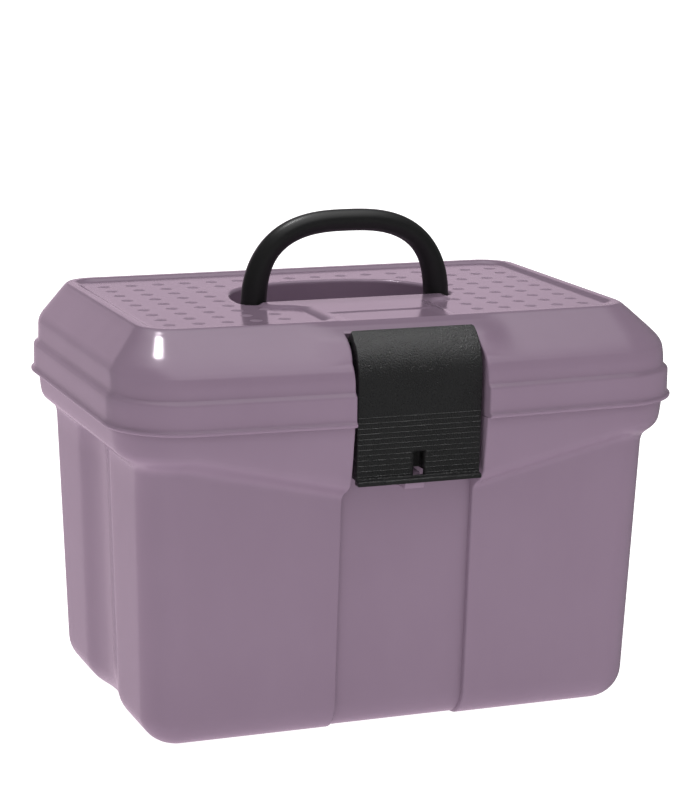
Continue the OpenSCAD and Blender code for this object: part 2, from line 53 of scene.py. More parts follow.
# %% Camera
IMAGE_HEIGHT, FOCAL_PIXELS, SENSOR = 800, 2524.94, 36
TURN, TILT, ROLL = (math.radians(angle) for angle in (-21.029, 11.875, 0.713))
CAMERA_PLACE = Vector((-0.6170, -1.6156, 0.5681))
backward = Vector((math.sin(TURN) * math.cos(TILT), -math.cos(TURN) * math.cos(TILT), math.sin(TILT)))
level = Vector((math.cos(TURN), math.sin(TURN), 0))
upward = backward.cross(level)
camera_x = math.cos(ROLL) * level + math.sin(ROLL) * upward
camera_y = -math.sin(ROLL) * level + math.cos(ROLL) * upward
camera = bpy.data.objects.new("camera", bpy.data.cameras.new("camera"))
camera.data.sensor_width = SENSOR
camera.data.lens = FOCAL_PIXELS * SENSOR / IMAGE_HEIGHT
pose = Matrix((camera_x, camera_y, backward)).transposed().to_4x4()
pose.translation = CAMERA_PLACE
camera.matrix_world = pose
bpy.context.collection.objects.link(camera)
bpy.context.scene.camera = camera
print("lens", round(camera.data.lens, 1))

# %% [markdown]
# ## Finishes
# A material is a small sum of patterns. Wiring each Math node by hand hides that sum, so the class below
# wraps one socket: patterns are added and multiplied as plain arithmetic, and each sign adds its Math node.
# Any other node comes from `make`.


# %% Arithmetic on sockets
class Value:
    def __init__(self, tree, socket):
        self.tree, self.socket = tree, socket

    def put(self, socket, item):
        if isinstance(item, Value):
            self.tree.links.new(item.socket, socket)
        else:
            socket.default_value = item

    def make(self, kind, settings, inputs, output=0):
        node = self.tree.nodes.new(kind)
        stops = settings.pop("stops", None)
        for name, setting in settings.items():
            setattr(node, name, setting)
        if stops:
            while len(node.color_ramp.elements) < len(stops):
                node.color_ramp.elements.new(1)
            for element, (place, colour) in zip(node.color_ramp.elements, stops):
                element.position, element.color = place, (*colour, 1)
        for name, item in inputs.items():
            self.put(node.inputs[name], item)
        return Value(self.tree, node.outputs[output])

    def math(self, operation, first, second):
        return self.make("ShaderNodeMath", {"operation": operation}, {0: first, 1: second})

    def __add__(self, other):
        return self.math("ADD", self, other)

    def __radd__(self, other):
        return self.math("ADD", other, self)

    def __sub__(self, other):
        return self.math("SUBTRACT", self, other)

    def __rsub__(self, other):
        return self.math("SUBTRACT", other, self)

    def __mul__(self, other):
        return self.math("MULTIPLY", self, other)

    def __rmul__(self, other):
        return self.math("MULTIPLY", other, self)


# %% [markdown]
# Four helpers start every finish: a new material with its constant values, a noise on Object coordinates,
# a base colour that runs between two tones along a pattern, and a bump from a pattern.

# %% Helpers of the finishes


def finish(name, **constants):
    material = bpy.data.materials.new(name)
    material.use_nodes = True
    shader = material.node_tree.nodes["Principled BSDF"]
    for socket, number in constants.items():
        shader.inputs[socket.replace("_", " ")].default_value = number
    coords = material.node_tree.nodes.new("ShaderNodeTexCoord")
    print("finish", name)
    return material, shader, Value(material.node_tree, coords.outputs["Object"])


def noise(spot, scale, detail=2.0, stretch=(1, 1, 1)):
    vector = spot.make("ShaderNodeMapping", {}, {"Vector": spot, "Scale": stretch})
    return spot.make("ShaderNodeTexNoise", {}, {"Vector": vector, "Scale": scale, "Detail": detail}, "Fac")


def two_tones(spot, shader, pattern, dark, light, low=0.3, high=0.7):
    stops = [(low, dark), (high, light)]
    colour = spot.make("ShaderNodeValToRGB", {"stops": stops}, {"Fac": pattern})
    spot.put(shader.inputs["Base Color"], colour)


def relief(spot, shader, height, distance, strength=1.0):
    bump = spot.make("ShaderNodeBump", {}, {"Height": height, "Distance": distance, "Strength": strength})
    spot.put(shader.inputs["Normal"], bump)


# %% [markdown]
# The mauve is a glossy polypropylene. One flat colour would look like a toy, so the colour drifts very
# slightly with the flow of the plastic, fine scuffs make the gloss uneven, and the surface has the faint
# waviness of a large moulding. The dots have a duller face, so the finish takes its roughness as a value.

# %% Mauve plastic
MAUVE_DARK, MAUVE_LIGHT = (0.238, 0.168, 0.232), (0.252, 0.180, 0.246)
MAUVE_GLOSS = (1.0, 0.87, 0.98, 1.0)


def mauve_plastic(name, rough):
    material, shader, spot = finish(name, IOR=1.46, Specular_Tint=MAUVE_GLOSS)
    drift = noise(spot, 9, 3) * 0.8 + noise(spot, 60, 2, (1, 1, 0.4)) * 0.2
    two_tones(spot, shader, drift, MAUVE_DARK, MAUVE_LIGHT)
    scuffs = noise(spot, 420, 3, (1, 1, 0.3))
    spot.put(shader.inputs["Roughness"], rough + drift * 0.04 + scuffs * 0.04)
    relief(spot, shader, noise(spot, 24, 1) + scuffs * 0.02, 0.0006, 0.35)
    return material


mauve = mauve_plastic("mauve_gloss", 0.1)
matt_mauve = mauve_plastic("mauve_matt", 0.38)

# %% [markdown]
# The black pieces have a spark-eroded face: a fine even grain that breaks the highlight into sparkle on the
# latch, and a much finer one on the handle and the tray. Modelled grain would need millions of faces, so it
# is a bump, and the same specks vary the tone and the gloss.

# %% Black plastics
BLACK_DARK, BLACK_LIGHT = (0.008, 0.008, 0.0083), (0.013, 0.013, 0.0133)


def black_plastic(name, grain, depth, rough, ior):
    material, shader, spot = finish(name, IOR=ior)
    speck = noise(spot, grain, 4)
    patch = noise(spot, 30, 2)
    two_tones(spot, shader, speck * 0.7 + patch * 0.3, BLACK_DARK, BLACK_LIGHT, 0.3, 0.75)
    spot.put(shader.inputs["Roughness"], rough + speck * 0.12 + patch * 0.06)
    relief(spot, shader, speck, depth)
    return material


grained_black = black_plastic("latch_grain", 1000, 0.0007, 0.2, 1.46)
satin_black = black_plastic("handle_satin", 2600, 0.00004, 0.26, 1.42)
tray_black = black_plastic("tray_satin", 1800, 0.00008, 0.36, 1.42)

# %% [markdown]
# The pins are drawn steel wire. The die leaves fine lines along the wire, so the noise is stretched along X,
# the way that the pins lie. The latch's pin is blackened, and hardly shows between the latch and its pocket.

# %% Pin steel


def drawn_steel(name, dark, light):
    material, shader, spot = finish(name, Metallic=1.0)
    lines = noise(spot, 900, 3, (0.04, 1, 1))
    two_tones(spot, shader, lines, (dark,) * 3, (light,) * 3)
    spot.put(shader.inputs["Roughness"], 0.24 + lines * 0.14)
    relief(spot, shader, lines, 0.00004)
    return material


bright_steel = drawn_steel("bright_steel", 0.46, 0.61)
black_steel = drawn_steel("black_steel", 0.012, 0.03)

# %% [markdown]
# ## Mesh helpers
# A moulding is a skin over stacked outlines, and small bars are a side view drawn out along X. A `part` is
# a pair of points and faces, and several parts of one moulding become one object, turned to metres. Edges
# sharper than the crease angle stay sharp, and all others are shaded smooth.

# %% From parts to an object
MM = 0.001


def solid(name, parts, material, crease=38):
    points, faces = [], []
    for part_points, part_faces in parts:
        base = len(points)
        points += [tuple(float(c) * MM for c in p) for p in part_points]
        faces += [tuple(int(i) + base for i in f) for f in part_faces]
    mesh = bpy.data.meshes.new(name)
    mesh.from_pydata(points, [], faces)
    mesh.materials.append(material)
    mesh.shade_smooth()
    mesh.set_sharp_from_angle(angle=math.radians(crease))
    piece = bpy.data.objects.new(name, mesh)
    bpy.context.collection.objects.link(piece)
    print(name, len(points), "points", len(faces), "faces")
    return piece


def plain_mesh(piece):
    """Turn what the modifiers make into the piece's own mesh."""
    depsgraph = bpy.context.evaluated_depsgraph_get()
    mesh = bpy.data.meshes.new_from_object(piece.evaluated_get(depsgraph))
    piece.modifiers.clear()
    piece.data = mesh
    print(piece.name, "as a plain mesh", len(mesh.polygons), "faces")


# %% Skins


def skin(rings, start, end):
    """Skin over rings that run anticlockwise seen from above, closed by a fan at the first and the last."""
    count, total = len(rings[0]), len(rings)
    points = np.concatenate((*rings, [start, end]))
    i = np.arange(count)
    j = (i + 1) % count
    faces = []
    for k in range(total - 1):
        low, high = k * count, (k + 1) * count
        faces += np.stack((low + i, low + j, high + j, high + i), 1).tolist()
    first, last = total * count, (total - 1) * count
    faces += np.stack((j, i, np.full(count, first)), 1).tolist()
    faces += np.stack((np.full(count, first + 1), last + i, last + j), 1).tolist()
    return points, faces


# %% Bars


def bmesh_part(mesh):
    mesh.verts.ensure_lookup_table()
    part = ([tuple(v.co) for v in mesh.verts], [[v.index for v in f.verts] for f in mesh.faces])
    mesh.free()
    return part


def soften(mesh, radius, steps=3, angle=30):
    bmesh.ops.recalc_face_normals(mesh, faces=mesh.faces)
    edges = [e for e in mesh.edges if e.calc_face_angle(0) > math.radians(angle)]
    bmesh.ops.bevel(mesh, geom=edges, offset=radius, segments=steps, profile=0.5, affect="EDGES")
    mesh.verts.index_update()


def bar_along_x(side, low, high, radius):
    """Side view in Y and Z drawn out along X, with rounded edges."""
    mesh = bmesh.new()
    ends = [[mesh.verts.new((x, y, z)) for y, z in side] for x in (low, high)]
    for end in ends:
        mesh.faces.new(end)
    for k in range(len(side)):
        n = (k + 1) % len(side)
        mesh.faces.new((ends[0][k], ends[0][n], ends[1][n], ends[1][k]))
    soften(mesh, radius)
    return bmesh_part(mesh)


# %% Curves and blends


def through(points, steps):
    """Smooth curve through points: a Catmull-Rom spline in any number of coordinates."""
    p = np.array(points, float)
    p = np.concatenate(([2 * p[0] - p[1]], p, [2 * p[-1] - p[-2]]))
    out = []
    for a, b, c, d in zip(p, p[1:], p[2:], p[3:]):
        for t in np.arange(steps) / steps:
            out.append(0.5 * (2 * b + (c - a) * t + (2 * a - 5 * b + 4 * c - d) * t ** 2
                              + (3 * b - a - 3 * c + d) * t ** 3))
    return np.array(out + [p[-2]])


def ease(low, high, x):
    t = np.clip((x - low) / (high - low), 0, 1)
    return t * t * (3 - 2 * t)


def mix(a, b, share):
    return a + (b - a) * share


def circle_points(middle, radius, degrees):
    a = np.radians(degrees)
    return list(zip(middle[0] + radius * np.cos(a), middle[1] + radius * np.sin(a)))


# %% [markdown]
# ## Outlines of the mouldings
# Tub and lid share one kind of outline: a rounded rectangle whose front stands out as a shallow prow and is
# notched in the middle for the latch. Each outline has its points in the same order, so two levels can be
# joined point by point. The points lie close together at the edges of the notch, where the moulding turns
# sharply, and at the hinge windows in the back.

# %% Spacing of an outline's points
INSIDE = np.linspace(0, 1, 13)
EDGE = np.array([0.3, 0.45, 0.7, 1.0, 1.4, 1.9, 2.4, 3.0, 3.7, 4.4, 5.2, 6.0,
                 7.0, 8.0, 9.0, 10.0, 11.0, 12.0, 13.0, 14.5])
FAR = np.linspace(0, 1, 25)[1:]
TURN_STEPS = np.linspace(0, 1, 21)[1:]
SIDE = np.linspace(-1, 1, 57)[1:]
WINDOWS = [(88.2, 99.0), (121.0, 131.8)]
WINDOW_EDGES = {x + d for pair in WINDOWS for x in pair for d in (-0.15, 0.15)}
BACK_REST = {144.0, 138.0, 126.4, 115.0, 110.0, 105.0, 93.6} | set(np.arange(0, 84, 8.0))
BACK = np.array(sorted(WINDOW_EDGES | BACK_REST))[::-1]
HALF_COUNT = len(INSIDE) + len(EDGE) + len(FAR) + 2 * len(TURN_STEPS) + len(SIDE) + len(BACK)
print("points in an outline", 2 * HALF_COUNT - 2)

# %% [markdown]
# The front row runs from the middle to the right: the pocket's floor, the rounded edge of the pocket, and
# the prow out to the corner. Beside the pocket the wall swells into an ear that covers the latch's pin. The
# ear is drawn slimmer than in the solid, and fades out below the top edge, so that the front stays smooth.

# %% Front of an outline
NOTCH_DRAFT = 1.0
EAR_W, EAR_SLOPE, EAR_SHARE, EAR_FADE = 2.0, 26.0, 0.68, 0.75
EAR_FADE_LOW, EAR_FADE_HIGH = 270, 279


def front_row(z, straight, front, bulge, notch, floor_y, round_r, ear_y, dip):
    wall = notch - NOTCH_DRAFT
    x = np.concatenate((INSIDE * wall, wall + EDGE, mix(wall + EDGE[-1], straight, FAR)))
    line = front - bulge * np.clip(1 - x / straight, 0, 1)
    ear = 1 - ease(EAR_W, EAR_W + EAR_SLOPE, x - notch)
    share = EAR_SHARE * (1 - EAR_FADE * ease(EAR_FADE_LOW, EAR_FADE_HIGH, z))
    y = line + share * ear * np.minimum(0, ear_y - line)
    if floor_y is not None:
        inner = len(INSIDE)
        d = x[inner:] - x[inner]
        q = min(round_r, max(floor_y - y[inner], 0))
        if q > 0:
            y[inner:] += q - np.sqrt(np.maximum(q * q - np.maximum(q - d, 0) ** 2, 0))
        y[:inner] = np.maximum(floor_y, y[:inner])
    drop = dip * np.clip(1 - np.maximum(x, notch) / straight, 0, 1)
    return np.stack((x, y, z - drop), 1)


# %% Whole outline
FLUTE_W, LEAST_CORNER = 76.0, 1.0
BLUR = [0.1, 0.2, 0.4, 0.2, 0.1]


def at_level(x, y, z):
    return np.stack(np.broadcast_arrays(x, y, float(z)), 1)


def both_halves(half):
    return np.concatenate((half, half[1:-1][::-1] * (-1, 1, 1)))


def outline(z, half, front, back, corner, bulge, notch, floor_y=None, round_r=0.0, hollow=0.0, ear_y=0.0,
            dip=0.0):
    r = max(corner, LEAST_CORNER)
    straight = half - r
    row = front_row(z, straight, front, bulge, notch, floor_y, round_r, ear_y, dip)
    a = np.radians(-90 + 90 * TURN_STEPS)
    first = at_level(straight + r * np.cos(a), front + r + r * np.sin(a), z)
    side_y = mix(front + r, back - r, (SIDE + 1) / 2)
    s = (side_y - (front + back) / 2) / (FLUTE_W / 2)
    dent = np.convolve(np.pad(np.where(np.abs(s) < 1, 1 - s * s, 0), 2, mode="edge"), BLUR, "valid")
    side = at_level(half - hollow * dent, side_y, z)
    b = np.radians(90 * TURN_STEPS)
    second = at_level(straight + r * np.cos(b), back - r + r * np.sin(b), z)
    rear = at_level(np.minimum(BACK, straight), back, z)
    return both_halves(np.concatenate((row, first, side, second, rear)))


# %% [markdown]
# ## Lid
# One moulding: a bead round the lip, an upright skirt, a rounded ledge, a domed wall that leans over in a
# bevel, a rim round the top, and inside the rim a floor with a D-shaped well for the folded handle. It
# could be a stack of booleans, but a single skin from the underside over the lip and up to the well's
# floor gives clean highlights and an even wall. The dome's profile is a table of shares: how far the ends
# have come in, how far the front has, and how high the wall has risen.

# %% Lid sizes
LIP_HALF, LIP_REACH, LIP_Z, LIP_CORNER = 200.0, 142.3, 220.0, 51.0
PROW, CREST_PROW = 7.9, 3.0
BEAD_R, SKIRT_IN, SKIRT_TOP = 1.6, 2.0, 236.0
BEAD_BLEND = [(1.75, 1.45), (2.1, 1.75), (2.7, 1.95), (3.6, 2), (8, 2), (13, 2)]
LEDGE = [(2.0, 0.6), (2.12, 1.6), (2.45, 2.4), (3.0, 3.0), (4.5, 4.2), (5.0, 4.8), (5.2, 6.0)]
DOME_IN, DOME_Z, DOME_H = 5.2, 242.0, 37.3
CREST = np.array([28.0, 46.8, 20.0])
CREST_Z, FLOOR_Z, LID_WALL = 279.3, 277.3, 2.5
RIM_TOP, FLOOR_IN = 4.0, 11.0
DOME_SHARES = [
    (0, 0, 0), (0.004, 0.012, 0.15), (0.01, 0.05, 0.29), (0.03, 0.082, 0.35), (0.07, 0.122, 0.405),
    (0.14, 0.18, 0.467), (0.225, 0.245, 0.523), (0.36, 0.36, 0.61), (0.5, 0.495, 0.7), (0.64, 0.635, 0.791),
    (0.78, 0.775, 0.882), (0.87, 0.868, 0.937), (0.94, 0.94, 0.978), (1, 1, 1)]
print("lid from", LIP_Z - BEAD_R, "to", CREST_Z)

# %% [markdown]
# Beside the latch the ears follow the latch's bend. The back of the latch's pocket is hollowed round the
# pivot, so that the top end of the latch can swing, and closes over it in a rounded edge. A boolean with a
# cylinder would leave slivers where it meets the bevel, so each level asks these functions for its depth.

# %% Pocket and ears
POCKET_HALF, POCKET_Y, POCKET_ROUND = 47.0, -126.0, 1.6
POCKET_CLOSE, CLOSE_LOW, CLOSE_HIGH = 1.6, 256, 268
PIVOT_Y, PIVOT_Z, SWING_R, SWING_LOW, SWING_HIGH = -122.677, 269.066, 9.2, 245, 253
BRIDGE_Z, BRIDGE_TOP, BRIDGE_R = 276.3, 277.6, 1.4
BEND_Y, BEND_Z = -105.0, 248.0
EAR_R, EAR_ARC, EAR_TOP_Y, EAR_TOP_Z, EAR_POWER = 32.5, math.radians(65), -99.5, CREST_Z - 0.4, 0.8


def ear_at(z):
    up = z - BEND_Z
    arc_top = EAR_R * math.sin(EAR_ARC)
    if up <= 0 or z > EAR_TOP_Z:
        return 0.0
    if up < arc_top:
        return BEND_Y - math.sqrt(EAR_R ** 2 - up * up)
    low_y = BEND_Y - EAR_R * math.cos(EAR_ARC)
    return mix(low_y, EAR_TOP_Y, ((up - arc_top) / (EAR_TOP_Z - BEND_Z - arc_top)) ** EAR_POWER)


def pocket_floor(z):
    if z < PIVOT_Z:
        return mix(POCKET_Y, PIVOT_Y + SWING_R, ease(SWING_LOW, SWING_HIGH, z))
    up = min(z, BRIDGE_Z) - PIVOT_Z
    over = np.clip((z - BRIDGE_Z) / (BRIDGE_TOP - BRIDGE_Z), 0, 1)
    return PIVOT_Y + math.sqrt(SWING_R ** 2 - up * up) + BRIDGE_R * (1 - math.sqrt(1 - over * over))


print("pocket depth at the pivot", round(pocket_floor(PIVOT_Z), 2))

# %% Levels of the lid
BEVEL_LOW, BEVEL_HIGH, BEVEL_IN, BEVEL_DOWN = 0.3, 0.45, 0.9, 0.6


def lid_ring(z, insets, bulge, wall=0.0, floor_y=None, ear_y=0.0):
    end_in, front_in, back_in = insets
    notch = POCKET_HALF - POCKET_CLOSE * ease(CLOSE_LOW, CLOSE_HIGH, z) + wall
    return outline(z, LIP_HALF - end_in, front_in - LIP_REACH, LIP_REACH - back_in, LIP_CORNER - end_in,
                   bulge, notch, floor_y, POCKET_ROUND, ear_y=ear_y)


def even_ring(z, inset, wall=0.0):
    return lid_ring(z, (inset,) * 3, PROW, wall, POCKET_Y + wall)


def dome_ring(share, wall=0.0):
    run, front_run, rise = share
    lean = ease(BEVEL_LOW, BEVEL_HIGH, rise)
    inset = mix(DOME_IN, CREST, np.array((run, front_run, run))) + wall * mix(1, BEVEL_IN, lean)
    z = DOME_Z + DOME_H * rise - wall * BEVEL_DOWN * lean
    bulge = mix(PROW, CREST_PROW, front_run)
    deep = pocket_floor(min(z, PIVOT_Z)) + wall if wall else pocket_floor(z)
    open_pocket = inset[1] - LIP_REACH - bulge < deep if wall else z < BRIDGE_TOP
    return lid_ring(z, inset, bulge, wall, deep if open_pocket else None, 0.0 if wall else ear_at(z))


print("top edge of the dome", round(dome_ring(DOME_SHARES[-1])[:, 2].max(), 2))

# %% [markdown]
# Behind the latch the top is smooth: a stem and a bar, as high as the rim, lead to the well, and the stem
# has a shallow recess. Cutting them out would fix their corners, so their join is one rounded union of two
# distance fields, and the height of each point of the top is read from it.

# %% Heights of the top
STEM_HALF, STEM_END, FLARE, STEP_RUN = 46, -20, 14, 2.2
BAR_HALF, BAR_DEEP, BAR_Y, BAR_ROUND = 67, 19, -12, 9
RECESS_HALF, RECESS_Y, RECESS_RUN, RECESS_DEPTH = 36, -66, 0.6, 0.5


def plateau(x, y):
    stem = np.abs(x) - STEM_HALF
    stem = np.where(y > STEM_END, np.maximum(stem, y - STEM_END), stem)
    qx, qy = np.abs(x) - (BAR_HALF - BAR_ROUND), np.abs(y - BAR_Y) - (BAR_DEEP - BAR_ROUND)
    bar = np.hypot(np.maximum(qx, 0), np.maximum(qy, 0)) + np.minimum(np.maximum(qx, qy), 0) - BAR_ROUND
    fillet = np.hypot(np.maximum(FLARE - stem, 0), np.maximum(FLARE - bar, 0))
    joined = np.maximum(FLARE, np.minimum(stem, bar)) - fillet
    return 1 - ease(-STEP_RUN, STEP_RUN, joined)


def recess(x, y):
    across = 1 - ease(-RECESS_RUN, RECESS_RUN, np.abs(x) - RECESS_HALF)
    return across * (1 - ease(-RECESS_RUN, RECESS_RUN, y - RECESS_Y))


def top_height(ring, z):
    x, y = ring[:, 0], ring[:, 1]
    high = np.where(y < 0, plateau(x, y), 0)
    ring[:, 2] = z + (CREST_Z - z) * high - RECESS_DEPTH * np.where(y < 0, recess(x, y), 0)
    return ring


print("stem and bar stand above the floor by", round(CREST_Z - FLOOR_Z, 1))

# %% [markdown]
# The well is a D: straight at the front, with a squared arch behind, so that the folded handle lies in it.
# Its outline gets one point for each point of the lid's outline, spread by length, so that the floor
# between them is a plain grid.

# %% The well's outline
WELL_HALF, WELL_BACK, WELL_FRONT, WELL_POWER = 78.1, 74.6, 11.9, 2.5
WELL_FLOOR_Z, WELL_EDGE_R, WELL_FOOT_R, WELL_MIDDLE_Y = 257.9, 2.4, 3, 30
STRAIGHT_X = 60.0


def well_line(grow):
    a = np.radians(np.linspace(-90, 0, 60))
    r = WELL_FRONT + grow
    corner = np.stack((WELL_HALF - WELL_FRONT + r * np.cos(a), r * np.sin(a)), 1)
    t = np.radians(np.linspace(0, 90, 300))
    power = 2 / WELL_POWER
    arch = np.stack(((WELL_HALF + grow) * np.cos(t) ** power, (WELL_BACK + grow) * np.sin(t) ** power), 1)
    return np.concatenate(([[STRAIGHT_X, -WELL_FRONT - grow]], corner, arch[1:]))


def lengths(line):
    return np.hypot(*np.diff(line, axis=0).T)


def well_ring(like, grow, z):
    """Outline of the well with one point for each point of a ring of the lid."""
    half = like[:HALF_COUNT]
    front = (half[:, 1] < 0) & (half[:, 0] <= STRAIGHT_X)
    steps = lengths(np.concatenate(([[STRAIGHT_X, half[0, 1]]], half[~front][:, :2])))
    share = np.cumsum(steps) / steps.sum()
    line = well_line(grow)
    run = np.concatenate(([0], np.cumsum(lengths(line))))
    run /= run[-1]
    x = np.concatenate((half[front][:, 0], np.interp(share, run, line[:, 0])))
    y = np.concatenate((np.full(front.sum(), -WELL_FRONT - grow), np.interp(share, run, line[:, 1])))
    return both_halves(at_level(x, y, z))


print("half of the well's edge", round(STRAIGHT_X + lengths(well_line(0)).sum(), 1))

# %% [markdown]
# The rings now follow one path: round the bead, up the skirt, over the ledge and the dome to the top edge,
# down to the floor, across it to the well, and down to the middle of the well. More rings lie where the
# path turns.

# %% Lid rings from the lip to the floor
outside = [even_ring(LIP_Z + BEAD_R * math.sin(t), BEAD_R * (1 - math.cos(t)))
           for t in np.radians(np.linspace(-90, 78, 9))]
outside += [even_ring(LIP_Z + up, inset) for up, inset in BEAD_BLEND]
outside += [even_ring(SKIRT_TOP + up, inset) for inset, up in through(LEDGE, 3)[:-1]]
outside += [dome_ring(share) for share in through(DOME_SHARES, 4)]
for inward in (1.0, 2.2, RIM_TOP):
    outside.append(top_height(lid_ring(CREST_Z, CREST + inward, CREST_PROW), CREST_Z))
for t in np.linspace(0, 1, 8)[1:]:
    ring = lid_ring(0, CREST + mix(RIM_TOP, FLOOR_IN, t), mix(CREST_PROW, 0, t))
    outside.append(top_height(ring, mix(CREST_Z, FLOOR_Z, ease(0, 1, t))))
print("rings up to the floor", len(outside))

# %% Lid rings from the floor into the well
floor_edge = outside[-1]
well_edge = well_ring(floor_edge, WELL_EDGE_R, 0)
for t in np.linspace(0, 1, 37)[1:]:
    outside.append(top_height(mix(floor_edge, well_edge, t), FLOOR_Z))
edge_z = outside[-1][:, 2].copy()
for a in np.radians(np.linspace(0, 90, 7)[1:]):
    ring = well_ring(floor_edge, WELL_EDGE_R * (1 - math.sin(a)), 0)
    ring[:, 2] = edge_z - WELL_EDGE_R * (1 - math.cos(a))
    outside.append(ring)
outside += [well_ring(floor_edge, 0, z) for z in (270, 264, WELL_FLOOR_Z + WELL_FOOT_R)]
for a in np.radians(np.linspace(0, 90, 5)[1:]):
    inward, up = WELL_FOOT_R * (1 - math.cos(a)), WELL_FOOT_R * (1 - math.sin(a))
    outside.append(well_ring(floor_edge, -inward, WELL_FLOOR_Z + up))
well_middle = np.array((0, WELL_MIDDLE_Y, WELL_FLOOR_Z))
outside += [mix(outside[-1], well_middle, t) for t in (0.3, 0.6, 0.9)]
print("rings outside", len(outside))

# %% [markdown]
# The underside goes the other way, one wall thickness in: from the well's bucket along the ceiling and down
# inside the dome and the skirt. It shows when the lid is open.

# %% Lid rings of the underside
ceiling_z, bucket_z = FLOOR_Z - LID_WALL, WELL_FLOOR_Z - LID_WALL
under_edge = lid_ring(ceiling_z, CREST + FLOOR_IN, 0)
bucket = well_ring(under_edge, LID_WALL, ceiling_z)
bucket_low = well_ring(under_edge, LID_WALL, bucket_z)
bucket_middle = np.array((0, WELL_MIDDLE_Y, bucket_z))
inside = [mix(bucket_middle, bucket_low, t) for t in (0.1, 0.5, 1)]
inside += [mix(bucket_low, bucket, t) for t in (0.5, 1)]
inside += [mix(bucket, under_edge, t) for t in (0.25, 0.5, 0.75, 1)]
inside += [lid_ring(ceiling_z, CREST + RIM_TOP, CREST_PROW)]
inside += [dome_ring(share, LID_WALL) for share in through(DOME_SHARES[1:-2], 2)[::-1]]
inside += [even_ring(SKIRT_TOP, DOME_IN + LID_WALL, LID_WALL)]
inside += [even_ring(z, SKIRT_IN + LID_WALL, LID_WALL) for z in (SKIRT_TOP, 227, LIP_Z - BEAD_R)]
print("rings inside", len(inside))

# %% [markdown]
# The back of the skirt has four windows for the tub's hinge knuckles. Instead of cutting the finished skin,
# the points between a window's edges are lifted to its top, so the skin simply ends higher there.

# %% Windows for the tub's hinge knuckles
WINDOW_TOP, WINDOW_BEYOND_Y = 226.4, 130
lid_rings = inside + outside
for ring in lid_rings:
    x, y = np.abs(ring[:, 0]), ring[:, 1]
    beside = np.any([(x > a) & (x < b) for a, b in WINDOWS], axis=0)
    cut = (y > WINDOW_BEYOND_Y) & (ring[:, 2] < WINDOW_TOP) & beside
    ring[cut, 2] = WINDOW_TOP
    ring[cut, 1] = np.minimum(y[cut], LIP_REACH - SKIRT_IN)
lid_parts = [skin(lid_rings, bucket_middle, well_middle)]
print("windows", 2 * len(WINDOWS))

# %% [markdown]
# The knuckles at the back are round eyes on short arms. The lid has one at each hinge, and the tub has
# two that stand beside it, so that one pin holds all three. Each is a side view drawn out along the pin.

# %% Lid knuckles
HINGE_X, HINGE_Y, HINGE_Z, KNUCKLE_R = 110.0, 142.3, 220.0, 5.39
KNUCKLE_ROUND, LID_KNUCKLE_HALF = 0.5, 11
LID_ARM_Y, LID_ARM_TOP, LID_ARM_FOOT, LID_ARM_BACK = 139.05, 8.4, 0.5, 0.6


def knuckle_eye(start, end, count):
    return circle_points((HINGE_Y, HINGE_Z), KNUCKLE_R, np.linspace(start, end, count))


lid_arm = [(HINGE_Y - LID_ARM_BACK, HINGE_Z + LID_ARM_TOP), (LID_ARM_Y, HINGE_Z + LID_ARM_TOP),
           (LID_ARM_Y, HINGE_Z + LID_ARM_FOOT)]
for side in (-1, 1):
    x = side * HINGE_X
    lid_parts.append(bar_along_x(knuckle_eye(-180, 20, 29) + lid_arm, x - LID_KNUCKLE_HALF,
                                 x + LID_KNUCKLE_HALF, KNUCKLE_ROUND))
lid = solid("lid_moulding", lid_parts, mauve)

# %% [markdown]
# ## Dots on the lid
# The floor of the lid carries rows of low round dots that keep things from sliding. They repeat, so a
# small tree of nodes sets one shallow cap on every point of a cloud. The points of the cloud come from the
# pitch, and those on the well, the stem and the bar are left out.

# %% Dot places
DOT_D, DOT_H, DOT_SUNK, DOT_PITCH = 9.8, 0.22, 0.05, 19.8
DOT_COLUMNS, DOT_ROWS, DOT_CLEAR = 16, 10, 1
NO_DOT_STEM, NO_DOT_BAR, NO_DOT_BAR_Y = 45.5, 68, -31
dot_points = []
for i in range(DOT_COLUMNS):
    for j in range(DOT_ROWS):
        x, y = (i - (DOT_COLUMNS - 1) / 2) * DOT_PITCH, (j - (DOT_ROWS - 1) / 2) * DOT_PITCH
        r = DOT_D / 2 + DOT_CLEAR
        arch_x, arch_y = abs(x) / (WELL_HALF + r), max(y, 0) / (WELL_BACK + r)
        in_well = arch_x < 1 and y > -WELL_FRONT - r and arch_x ** WELL_POWER + arch_y ** WELL_POWER < 1
        in_stem = abs(x) < NO_DOT_STEM + r and y < 0
        in_bar = abs(x) < NO_DOT_BAR and NO_DOT_BAR_Y - r < y < 0
        if not (in_well or in_stem or in_bar):
            dot_points.append((x * MM, y * MM, (FLOOR_Z - DOT_SUNK) * MM))
print("dots", len(dot_points))

# %% [markdown]
# One dot starts as a cone with a few rings of faces, and its points are lifted to a parabola. A sphere cut
# by the floor would be as good but needs many more faces for so flat a cap.

# %% Dot tree
tree = bpy.data.node_groups.new("dots_on_lid", "GeometryNodeTree")
tree.interface.new_socket("Geometry", in_out="INPUT", socket_type="NodeSocketGeometry")
width_in = tree.interface.new_socket("Dot diameter", in_out="INPUT", socket_type="NodeSocketFloat")
height_in = tree.interface.new_socket("Dot height", in_out="INPUT", socket_type="NodeSocketFloat")
tree.interface.new_socket("Geometry", in_out="OUTPUT", socket_type="NodeSocketGeometry")


def tree_node(kind, inputs, output=0, **settings):
    node = tree.nodes.new(kind)
    for name, setting in settings.items():
        setattr(node, name, setting)
    for name, item in inputs.items():
        if isinstance(item, bpy.types.NodeSocket):
            tree.links.new(item, node.inputs[name])
        else:
            node.inputs[name].default_value = item
    return node.outputs[output] if node.outputs else None


def tree_math(operation, first, second):
    return tree_node("ShaderNodeMath", {0: first, 1: second}, operation=operation)


print("inputs of the dot tree", width_in.name, "and", height_in.name)

